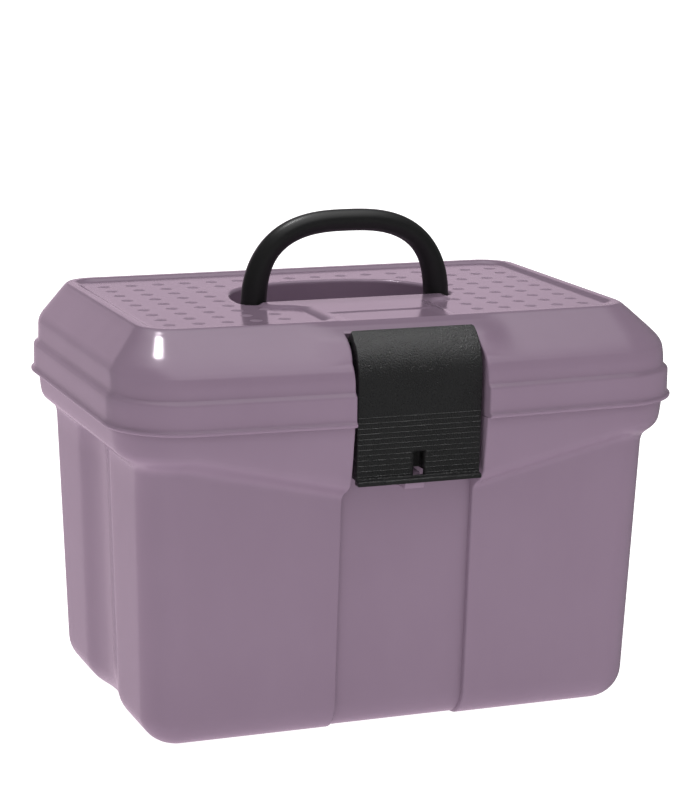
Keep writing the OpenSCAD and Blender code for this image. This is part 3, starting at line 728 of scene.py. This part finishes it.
# %% One dot on every point
cloud_in = tree_node("NodeGroupInput", {}, "Geometry")
sizes_in = cloud_in.node.outputs
cone = tree_node("GeometryNodeMeshCone", {
    "Vertices": 18, "Side Segments": 4, "Radius Top": 0.0, "Radius Bottom": 1.0, "Depth": 1.0}, "Mesh")
along = tree_node("ShaderNodeSeparateXYZ", {0: tree_node("GeometryNodeInputPosition", {})}).node.outputs
fall = tree_math("SUBTRACT", along["Z"], 1.0)
bowl = tree_math("SUBTRACT", 1.0, tree_math("MULTIPLY", fall, fall))
lifted = tree_node("ShaderNodeCombineXYZ", {"X": along["X"], "Y": along["Y"], "Z": bowl})
cap = tree_node("GeometryNodeSetPosition", {"Geometry": cone, "Position": lifted})
radius = tree_math("DIVIDE", sizes_in["Dot diameter"], 2.0)
scale = tree_node("ShaderNodeCombineXYZ", {"X": radius, "Y": radius, "Z": sizes_in["Dot height"]})
caps = tree_node("GeometryNodeInstanceOnPoints", {"Points": cloud_in, "Instance": cap, "Scale": scale})
whole = tree_node("GeometryNodeRealizeInstances", {"Geometry": caps})
smooth = tree_node("GeometryNodeSetShadeSmooth", {"Geometry": whole})
dressed = tree_node("GeometryNodeSetMaterial", {"Geometry": smooth, "Material": matt_mauve})
tree_node("NodeGroupOutput", {0: dressed})
print("nodes in the dot tree", len(tree.nodes))

# %% Dots as a plain mesh
cloud = bpy.data.meshes.new("dot_cloud")
cloud.from_pydata(dot_points, [], [])
dots = bpy.data.objects.new("lid_dots", cloud)
bpy.context.collection.objects.link(dots)
modifier = dots.modifiers.new("dots", "NODES")
modifier.node_group = tree
modifier[width_in.identifier] = DOT_D * MM
modifier[height_in.identifier] = DOT_H * MM
plain_mesh(dots)

# %% [markdown]
# ## Tub
# The tub is one moulding too. Its wall rises with a little draft from a generous rounded foot, the front
# has a recessed panel under the latch, each end has a shallow hollow, and the collar flares out below the
# lid along a crease that dips in a shallow V towards the panel. A box with a solidify modifier could not
# follow that crease, so the collar is a table of shares: flare, rise, prow and dip.

# %% Tub levels
FOOT_HALF, FOOT_FRONT, FOOT_BACK, FOOT_ROUND = 174.5, 110.5, 116.0, 22.0
END_DRAFT, LONG_DRAFT = math.tan(math.radians(1.8)), math.tan(math.radians(2.7))
CREASE_Z, COLLAR_TOP_Z, RIM_Z, CREASE_DIP = 191.0, 215.0, 235.7, 35.0
RIM_IN, TUB_CORNER, TUB_WALL, FLUTE_DEPTH = 5.6, 25.0, 2.8, 5.0
PANEL_DEPTH, PANEL_ROUND = 4.0, 1.4
RIM_NOTCH, SEAM_Z, RIM_ROUND, FOOT_MIDDLE_Y = 51.5, 218.0, 0.8, 3
COLLAR = [(0, -0.2, 0, 1), (0.05, -0.04, 0, 1), (0.2, 0.1, 0.1, 1), (0.62, 0.3, 0.25, 1),
          (0.8, 0.43, 0.35, 0.95), (0.9, 0.6, 0.5, 0.8), (1, 1, 1, 0)]


def tub_front(z):
    return -FOOT_FRONT - z * LONG_DRAFT


def tub_ring(z, flare, bulge, dip, inset, wall, hollow, notch=POCKET_HALF):
    off = inset + wall
    return outline(
        z, mix(FOOT_HALF + z * END_DRAFT, LIP_HALF - RIM_IN, flare) - off,
        mix(tub_front(z), RIM_IN - LIP_REACH, flare) + off,
        mix(FOOT_BACK + z * LONG_DRAFT, LIP_REACH - RIM_IN, flare) - off,
        mix(TUB_CORNER, LIP_CORNER - RIM_IN, flare) - off,
        PROW * bulge, notch + wall, tub_front(z) + PANEL_DEPTH + off, PANEL_ROUND, hollow,
        dip=CREASE_DIP * dip)


def rim_ring(z, wall, notch=RIM_NOTCH):
    return tub_ring(z, 1, 1, 0, 0, wall, 0, notch)


print("foot", 2 * FOOT_HALF, "by", FOOT_FRONT + FOOT_BACK)

# %% Tub rings


def tub_rings(wall, steps, wall_rings):
    rings = []
    r = FOOT_ROUND - wall
    for t in np.radians(np.linspace(0, 90, steps + 1)):
        up, inset = r * (1 - math.cos(t)), r * (1 - math.sin(t))
        rings.append(tub_ring(wall + up, 0, 0, 0, inset, wall, FLUTE_DEPTH))
    low_z = mix(CREASE_Z, COLLAR_TOP_Z, COLLAR[0][1])
    for t in np.linspace(0, 1, wall_rings + 1)[1:-1]:
        rings.append(tub_ring(mix(FOOT_ROUND, low_z, t), 0, 0, t, 0, wall, FLUTE_DEPTH))
    for k, (flare, rise, bulge, dip) in enumerate(through(COLLAR, steps // 2)):
        hollow = FLUTE_DEPTH * (1 - ease(0, 0.3, max(flare, 0) + 0.001 * k))
        rings.append(tub_ring(mix(CREASE_Z, COLLAR_TOP_Z, rise), flare, bulge, dip, 0, wall, hollow))
    rings.append(rim_ring(SEAM_Z, wall, POCKET_HALF))
    return rings + [rim_ring(z, wall) for z in (SEAM_Z + 0.1, 224, RIM_Z - RIM_ROUND)]


rim = [rim_ring(RIM_Z, RIM_ROUND), rim_ring(RIM_Z, TUB_WALL - RIM_ROUND)]
rings = tub_rings(0, 10, 12) + rim + tub_rings(TUB_WALL, 6, 4)[::-1]
tub_parts = [skin(rings, (0, FOOT_MIDDLE_Y, 0), (0, FOOT_MIDDLE_Y, TUB_WALL))]
print("rings of the tub", len(rings))

# %% [markdown]
# The catch on the panel is a small block with a rounded tongue in its middle. The latch drops its slot over
# the tongue, and the foot of the block shows below the latch. Both are bars with a drawn side view, set
# back from the latch's plate by a small gap, so the sizes of the latch's front come first.

# %% Catch
LATCH_HALF, LATCH_PLATE, CHEEK, LATCH_FACE, LATCH_LEAN = 43.5, 3.0, 9.0, -139.0, 2.0
SLOT_Z, SLOT_H = 181.0, 17.0
CATCH_GAP, CATCH_HALF, TONGUE_HALF, CATCH_ROUND = 0.7, 7, 3.2, 0.7
root = tub_front(SLOT_Z) + PANEL_DEPTH + TUB_WALL / 2
nose = LATCH_FACE + LATCH_LEAN + LATCH_PLATE + CATCH_GAP
block = [(root, -9.8), (nose + 3.6, -9.8), (nose + 3.0, -9.1), (nose + 1.6, -5), (nose + 1.6, -3.6),
         (root, -3)]
tongue = [(root, -8), (nose + 2.6, -6), (nose, -4), (nose, -1.6), (nose + 0.6, 0.6), (nose + 2.4, 1.8),
          (root, 3)]
for side_view, half in ((block, CATCH_HALF), (tongue, TONGUE_HALF)):
    raised = [(y, SLOT_Z + up) for y, up in side_view]
    tub_parts.append(bar_along_x(raised, -half, half, CATCH_ROUND))
print("catch stands out", round(root - nose, 1))

# %% Tub knuckles
TUB_KNUCKLE_X, TUB_KNUCKLE_HALF, TUB_ARM_IN = 16.4, 5, 1.4
arm_y = LIP_REACH - RIM_IN - TUB_ARM_IN
tub_arm = [(arm_y, HINGE_Z + KNUCKLE_R * 0.2), (arm_y, HINGE_Z - KNUCKLE_R)]
for side in (-1, 1):
    for ear in (-1, 1):
        x = side * HINGE_X + ear * TUB_KNUCKLE_X
        tub_parts.append(bar_along_x(knuckle_eye(-90, 90, 25) + tub_arm, x - TUB_KNUCKLE_HALF,
                                     x + TUB_KNUCKLE_HALF, KNUCKLE_ROUND))
tub = solid("tub_moulding", tub_parts, mauve)

# %% [markdown]
# ## Latch
# The latch is a wide channel with a bent top: a plate three millimetres thick with a cheek down each side.
# Bending a flat plate with a modifier would stretch its cheeks, so its section is swept along the side
# view, from the foot up the flat front and round the bend. Fine ribs for the thumb are part of the sweep:
# a parabola lifts the face at each rib, with sections close together there.

# %% Path of the latch
LATCH_BEND, LATCH_TURN, LATCH_FOOT_Z = 34.0, math.radians(60), 177.5
RIBS, RIB_PITCH, RIB_H, RIB_W = 12, 3.55, 0.36, 0.9
straight_len = math.hypot(BEND_Z - SLOT_Z, LATCH_LEAN)
lean = math.atan2(LATCH_LEAN, BEND_Z - SLOT_Z)
bend_len = LATCH_BEND * LATCH_TURN
latch_len = straight_len + bend_len


def latch_frame(s):
    """Point on the latch's face, and the direction into the plate, at a length from the slot's foot."""
    if s <= straight_len:
        t = s / straight_len
        point = np.array((LATCH_FACE + LATCH_LEAN * (1 - t), mix(SLOT_Z, BEND_Z, t)))
        return point, np.array((math.cos(lean), math.sin(lean)))
    a = (s - straight_len) / LATCH_BEND
    inward = np.array((math.cos(a), -math.sin(a)))
    return np.array((BEND_Y, BEND_Z)) - LATCH_BEND * inward, inward


def rib(s):
    height = 0.0
    for i in range(RIBS):
        middle = RIB_PITCH * (i + 0.5) + RIB_W / 2
        height = max(height, RIB_H * (1 - ((s - middle) / (RIB_W / 2)) ** 2))
    return height


print("length along the latch", round(latch_len, 1))

# %% Section of the latch
PLATE_EDGE_R, CHEEK_STEP = 1.0, 5.5
ARC = np.radians(np.linspace(0, 90, 7))
FLAT = np.linspace(-1, 1, 15)[1:-1]


def latch_section(s, half, back=0.0):
    """Channel section at s: once round the outside and once round the inside, with as many points."""
    point, inward = latch_frame(s)
    r, core = PLATE_EDGE_R, half - LATCH_PLATE
    outer = [(-half, CHEEK), (-half, CHEEK_STEP)]
    outer += [(-half + r - r * math.cos(t), r - r * math.sin(t)) for t in ARC]
    outer += [(f * (half - r), 0) for f in FLAT]
    outer += [(half - r + r * math.sin(t), r - r * math.cos(t)) for t in ARC]
    outer += [(half, CHEEK_STEP), (half, CHEEK)]
    inner = [(-core, CHEEK), (-core, CHEEK_STEP)] + [(-core, LATCH_PLATE)] * len(ARC)
    inner += [(f * core, LATCH_PLATE) for f in FLAT]
    inner += [(core, LATCH_PLATE)] * len(ARC) + [(core, CHEEK_STEP), (core, CHEEK)]
    proud = rib(s)
    outer = [(x, max(d, back) - (proud if d < PLATE_EDGE_R / 2 else 0)) for x, d in outer]
    return [(x, *(point + inward * d)) for x, d in outer + inner[::-1]]


print("points in a section", len(latch_section(0.0, LATCH_HALF)))

# %% Sweep of the latch
TOP_ROUND, TOP_BACK = 3, 0.6
RIB_STATIONS = np.array((-0.1, 0, 0.12, 0.3, 0.5, 0.7, 0.88, 1, 1.1))
ribbed = [s for i in range(RIBS) for s in RIB_PITCH * (i + 0.5) + RIB_W * RIB_STATIONS]
stations = [0.0] + ribbed + list(np.linspace(ribbed[-1] + 3, straight_len, 6))
stations += list(straight_len + np.linspace(0, bend_len - TOP_ROUND, 22)[1:])
sections = [latch_section(s, LATCH_HALF) for s in stations]
for t in np.radians(np.linspace(15, 90, 6)):
    inward = 1 - math.cos(t)
    sections.append(latch_section(latch_len - TOP_ROUND + TOP_ROUND * math.sin(t),
                                  LATCH_HALF - TOP_ROUND * inward, TOP_BACK * inward))
count = len(sections[0])
mesh = bmesh.new()
verts = [mesh.verts.new(p) for section in sections for p in section]
for k in range(len(sections) - 1):
    low, high = k * count, (k + 1) * count
    for i in range(count):
        j = (i + 1) % count
        mesh.faces.new((verts[low + i], verts[low + j], verts[high + j], verts[high + i]))
for base in (0, (len(sections) - 1) * count):
    for i in range(count // 2 - 1):
        corners = (i, i + 1, count - 2 - i, count - 1 - i)
        mesh.faces.new([verts[base + c] for c in (corners if base else corners[::-1])])
bmesh.ops.remove_doubles(mesh, verts=mesh.verts, dist=0.0005)
bmesh.ops.recalc_face_normals(mesh, faces=mesh.faces)
mesh.verts.index_update()
latch_parts = [bmesh_part(mesh)]
print("sections of the latch", len(sections))

# %% [markdown]
# The pull lip along the foot is a rounded bar, a hub on each cheek takes the pin, and a box behind the plate
# closes the upper part of the slot. The slot itself is cut with a rounded block, because its corners cross
# the ribs of the sweep.

# %% Pull lip, hubs and slot box
LIP_OUT, LIP_SLOPE, LIP_ROUND, LIP_EDGE = 4, 3.6, 0.9, 0.4
HUB_R, HUB_IN, HUB_ROUND = 5, 40.5, 0.4
SLOT_DEEP, SLOT_STEP, BOX_HALF, BOX_WALL = 10.4, 4.6, 6.2, 1.4
BOX_IN, BOX_LAP, BOX_OVER = 4.2, 0.5, 1.5
lip_back_y, lip_front_y = LATCH_FACE + LATCH_LEAN + LATCH_PLATE, LATCH_FACE + LATCH_LEAN - LIP_OUT
latch_parts.append(bar_along_x([
    (lip_front_y, LATCH_FOOT_Z), (lip_back_y, LATCH_FOOT_Z), (lip_back_y, SLOT_Z + LIP_EDGE),
    (lip_front_y + LIP_SLOPE, SLOT_Z + LIP_EDGE), (lip_front_y, SLOT_Z - LIP_EDGE)],
    -LATCH_HALF, LATCH_HALF, LIP_ROUND))
hub = circle_points((PIVOT_Y, PIVOT_Z), HUB_R, np.arange(0, 360, 12))
for low, high in ((-LATCH_HALF, -HUB_IN), (HUB_IN, LATCH_HALF)):
    latch_parts.append(bar_along_x(hub, low, high, HUB_ROUND))
slot_floor_y, slot_middle = LATCH_FACE + SLOT_DEEP, SLOT_Z + SLOT_STEP
box_front, box_back, box_low, box_top = (
    LATCH_FACE + BOX_IN, slot_floor_y + BOX_WALL, slot_middle - BOX_LAP, SLOT_Z + SLOT_H + BOX_OVER)
latch_parts.append(bar_along_x([
    (box_front, box_low), (box_back, box_low), (box_back, box_top), (box_front, box_top)],
    -BOX_HALF, BOX_HALF, HUB_ROUND))
latch = solid("latch_flap", latch_parts, grained_black, 32)

# %% Slot
SLOT_HALF, SLOT_ROUND, SLOT_FOOT = 4.1, 0.8, 0.6
SLOT_FRONT_Y, SLOT_BACK_Y = -142, -127
slot_block = solid("slot_block", [bar_along_x([
    (SLOT_FRONT_Y, SLOT_Z + SLOT_FOOT), (SLOT_BACK_Y, SLOT_Z + SLOT_FOOT), (SLOT_BACK_Y, slot_middle),
    (slot_floor_y, slot_middle), (slot_floor_y, SLOT_Z + SLOT_H), (SLOT_FRONT_Y, SLOT_Z + SLOT_H)],
    -SLOT_HALF, SLOT_HALF, SLOT_ROUND)], grained_black)
cut = latch.modifiers.new("slot", "BOOLEAN")
cut.object, cut.solver, cut.use_self = slot_block, "EXACT", True
plain_mesh(latch)
bpy.data.objects.remove(slot_block)

# %% [markdown]
# ## Handle
# An arch, round in the legs and slimmer at the grip. A bent curve with a round bevel would keep one
# thickness, so rings are set square to its middle line, a squared ellipse, at even steps. Rounded feet close
# the legs, and a trunnion at each foot turns in the well's side wall.

# %% Middle line of the handle
LEG_HALF, RISE, ARCH_POWER, HANDLE_Z = 67.7, 63.0, 2.7, 268.4
LEG_R, GRIP_R, TRUNNION_R, TRUNNION_END, TRUNNION_ROUND = 8.9, 7.6, 3.5, 84.1, 0.5


def arch(t):
    c, s = math.cos(t), max(math.sin(t), 0)
    return np.array((LEG_HALF * math.copysign(abs(c) ** (2 / ARCH_POWER), c), RISE * s ** (2 / ARCH_POWER)))


dense = np.array([arch(t) for t in np.linspace(0, math.pi, 4001)])
run = np.concatenate(([0], np.cumsum(lengths(dense))))
places = np.linspace(0, run[-1], 121)
line = np.stack([np.interp(places, run, dense[:, k]) for k in (0, 1)], 1)
ahead = np.concatenate(([(0, 1)], line[2:] - line[:-2], [(0, -1)]))
print("length of the handle", round(run[-1], 1))

# %% Handle sweep


def arch_ring(middle, out, r, depth):
    a = np.radians(np.arange(0, 360, 7.5))
    x = middle[0] + out[0] * r * np.cos(a)
    return np.stack((x, depth * np.sin(a), HANDLE_Z + middle[1] + out[1] * r * np.cos(a)), 1)


def foot_rings(side, degrees):
    for a in np.radians(degrees):
        r = LEG_R * math.sin(a)
        yield arch_ring((side * LEG_HALF, -LEG_R * math.cos(a)), (side, 0), r, r)


rings = list(foot_rings(1, np.linspace(12, 78, 7)))
for middle, way in zip(line, ahead):
    out = np.array((way[1], -way[0])) / np.hypot(*way)
    r = mix(LEG_R, GRIP_R, ease(0.2, 0.8, middle[1] / RISE))
    rings.append(arch_ring(middle, out, r, LEG_R))
rings += foot_rings(-1, np.linspace(78, 12, 7))
foot_z = HANDLE_Z - LEG_R
handle_parts = [skin(rings, (LEG_HALF, 0, foot_z), (-LEG_HALF, 0, foot_z))]
trunnion = circle_points((0, HANDLE_Z), TRUNNION_R, np.arange(0, 360, 10))
for low, high in ((-TRUNNION_END, -LEG_HALF), (LEG_HALF, TRUNNION_END)):
    handle_parts.append(bar_along_x(trunnion, low, high, TRUNNION_ROUND))
handle = solid("handle_grip", handle_parts, satin_black)

# %% [markdown]
# ## Riding on the bodies
# Every piece takes the place of its solid and moves with that solid's body. The pins and the tray keep their
# imported shape and only get a finish.

# %% Bodies
for piece, node, body, slot in (
        (lid, "lid", "lid", "mauve_plastic"), (tub, "tub", "tub", "mauve_plastic"),
        (latch, "latch", "latch", "black_plastic"), (handle, "handle", "handle", "black_plastic")):
    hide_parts(node)
    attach(piece, body)
    print(piece.name, "rides on", body)
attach(dots, "lid")
for node, material in (("latch_pin", black_steel), ("hinge_pin_left", bright_steel),
                       ("hinge_pin_right", bright_steel), ("tray", tray_black)):
    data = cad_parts[node].data
    data.materials.clear()
    data.materials.append(material)

# %% [markdown]
# ## Floor
# The box stands on a light table: a pale floor that glows, so that the lower walls are lit from below and
# the floor reads as white. It is kept out of reflections, where it would wash out the glossy walls. A near
# disc lies inside a wide ring that reaches the horizon.

# %% Floor
NEAR_FLOOR, FAR_FLOOR, FLOOR_STEPS = 1.1, 40.0, 64
pale, shader, spot = finish("pale_floor", Roughness=0.9, IOR=1.2, Emission_Color=(1, 1, 1, 1),
                            Emission_Strength=1.0)
two_tones(spot, shader, noise(spot, 3), (0.5, 0.5, 0.5), (0.51, 0.51, 0.51))
circle = [(math.cos(a), math.sin(a)) for a in np.linspace(0, 2 * math.pi, FLOOR_STEPS + 1)[:-1]]
near_edge, far_edge = ([(x * r, y * r, 0) for x, y in circle] for r in (NEAR_FLOOR, FAR_FLOOR))
ring_faces = []
for k in range(FLOOR_STEPS):
    n = (k + 1) % FLOOR_STEPS
    ring_faces.append((k, FLOOR_STEPS + k, FLOOR_STEPS + n, n))
for name, points, faces in (("floor", near_edge, [tuple(range(FLOOR_STEPS))]),
                            ("far_floor", near_edge + far_edge, ring_faces)):
    floor_mesh = bpy.data.meshes.new(name)
    floor_mesh.from_pydata(points, [], faces)
    floor_mesh.materials.append(pale)
    floor = bpy.data.objects.new(name, floor_mesh)
    bpy.context.collection.objects.link(floor)
    floor.visible_glossy = False
    print(name, len(faces), "faces")

# %% [markdown]
# ## Light
# The room is a world of nodes rather than walls: a bright panel overhead, a dim band round it, a low tinted
# backdrop that the glossy top reflects, and dim sides that keep the ends from washing out. The camera sees
# all of it as plain white. Two wide suns soften the shadows, and a small one gives the bright strip on the
# lid's rounded left corner.

# %% Room
bpy.context.scene.view_settings.view_transform = "Standard"
world = bpy.data.worlds.new("soft_room")
bpy.context.scene.world = world
world.use_nodes = True
air = world.node_tree
towards = Value(air, air.nodes.new("ShaderNodeTexCoord").outputs["Generated"])


def grey(level):
    return (level, level, level)


def rising(value, low, high):
    return towards.make("ShaderNodeMapRange", {}, {"Value": value, "From Min": low, "From Max": high})


def blend(share, first, second):
    return towards.make("ShaderNodeMixRGB", {}, {"Fac": share, "Color1": first, "Color2": second})


apart = air.nodes.new("ShaderNodeSeparateXYZ")
towards.put(apart.inputs["Vector"], towards)
side_x, depth_y, height_z = (Value(air, output) for output in apart.outputs)
backdrop = towards.make("ShaderNodeValToRGB", {"stops": [
    (0.3, grey(0.25)), (0.75, (0.73, 0.57, 0.685))]}, {"Fac": depth_y * 0.5 + 0.5})
panel = towards.make("ShaderNodeValToRGB", {"stops": [
    (0.5, grey(0.1)), (0.62, grey(0.1)), (0.92, grey(1.8))]}, {"Fac": height_z})
middle = blend(rising(height_z, 0.24, 0.34), backdrop, panel)
sides = rising(side_x, 0.4, 0.65) + rising(side_x, -0.2, -0.45) * rising(height_z, -0.26, -0.18)
room = blend(sides, middle, (*grey(0.12), 1))
seen = Value(air, air.nodes.new("ShaderNodeLightPath").outputs["Is Camera Ray"])
towards.put(air.nodes["Background"].inputs["Color"], blend(seen, room, (1, 1, 1, 1)))
print("nodes in the room", len(air.nodes))

# %% Suns


def sun(name, source, strength, disc, gloss=True):
    data = bpy.data.lights.new(name, "SUN")
    data.energy, data.angle = strength, math.radians(disc)
    lamp = bpy.data.objects.new(name, data)
    lamp.rotation_euler = (-Vector(source)).to_track_quat("-Z", "Y").to_euler()
    lamp.visible_glossy = gloss
    bpy.context.collection.objects.link(lamp)
    print(name, strength)


sun("strip_box", (-0.11, 0.37, 0.92), 0.7, 7)
sun("right_fill", (0.6, -0.5, 0.6), 0.27, 40, gloss=False)
sun("front_fill", (-0.45, -0.75, 0.48), 0.62, 60, gloss=False)

# %% [markdown]
# The sparkle on the latch's bend needs a lamp close above the front. On the glossy lid it would leave a
# streak, so light linking keeps it on the latch alone.

# %% Latch lamp
latch_box = bpy.data.objects.new("latch_box", bpy.data.lights.new("latch_box", "AREA"))
latch_box.data.energy, latch_box.data.size = 1.0, 0.08
latch_box.location = (0.06, -0.33, 0.61)
bpy.context.collection.objects.link(latch_box)
latch_only = bpy.data.collections.new("latch_only")
latch_only.objects.link(latch)
latch_box.light_linking.receiver_collection = latch_only
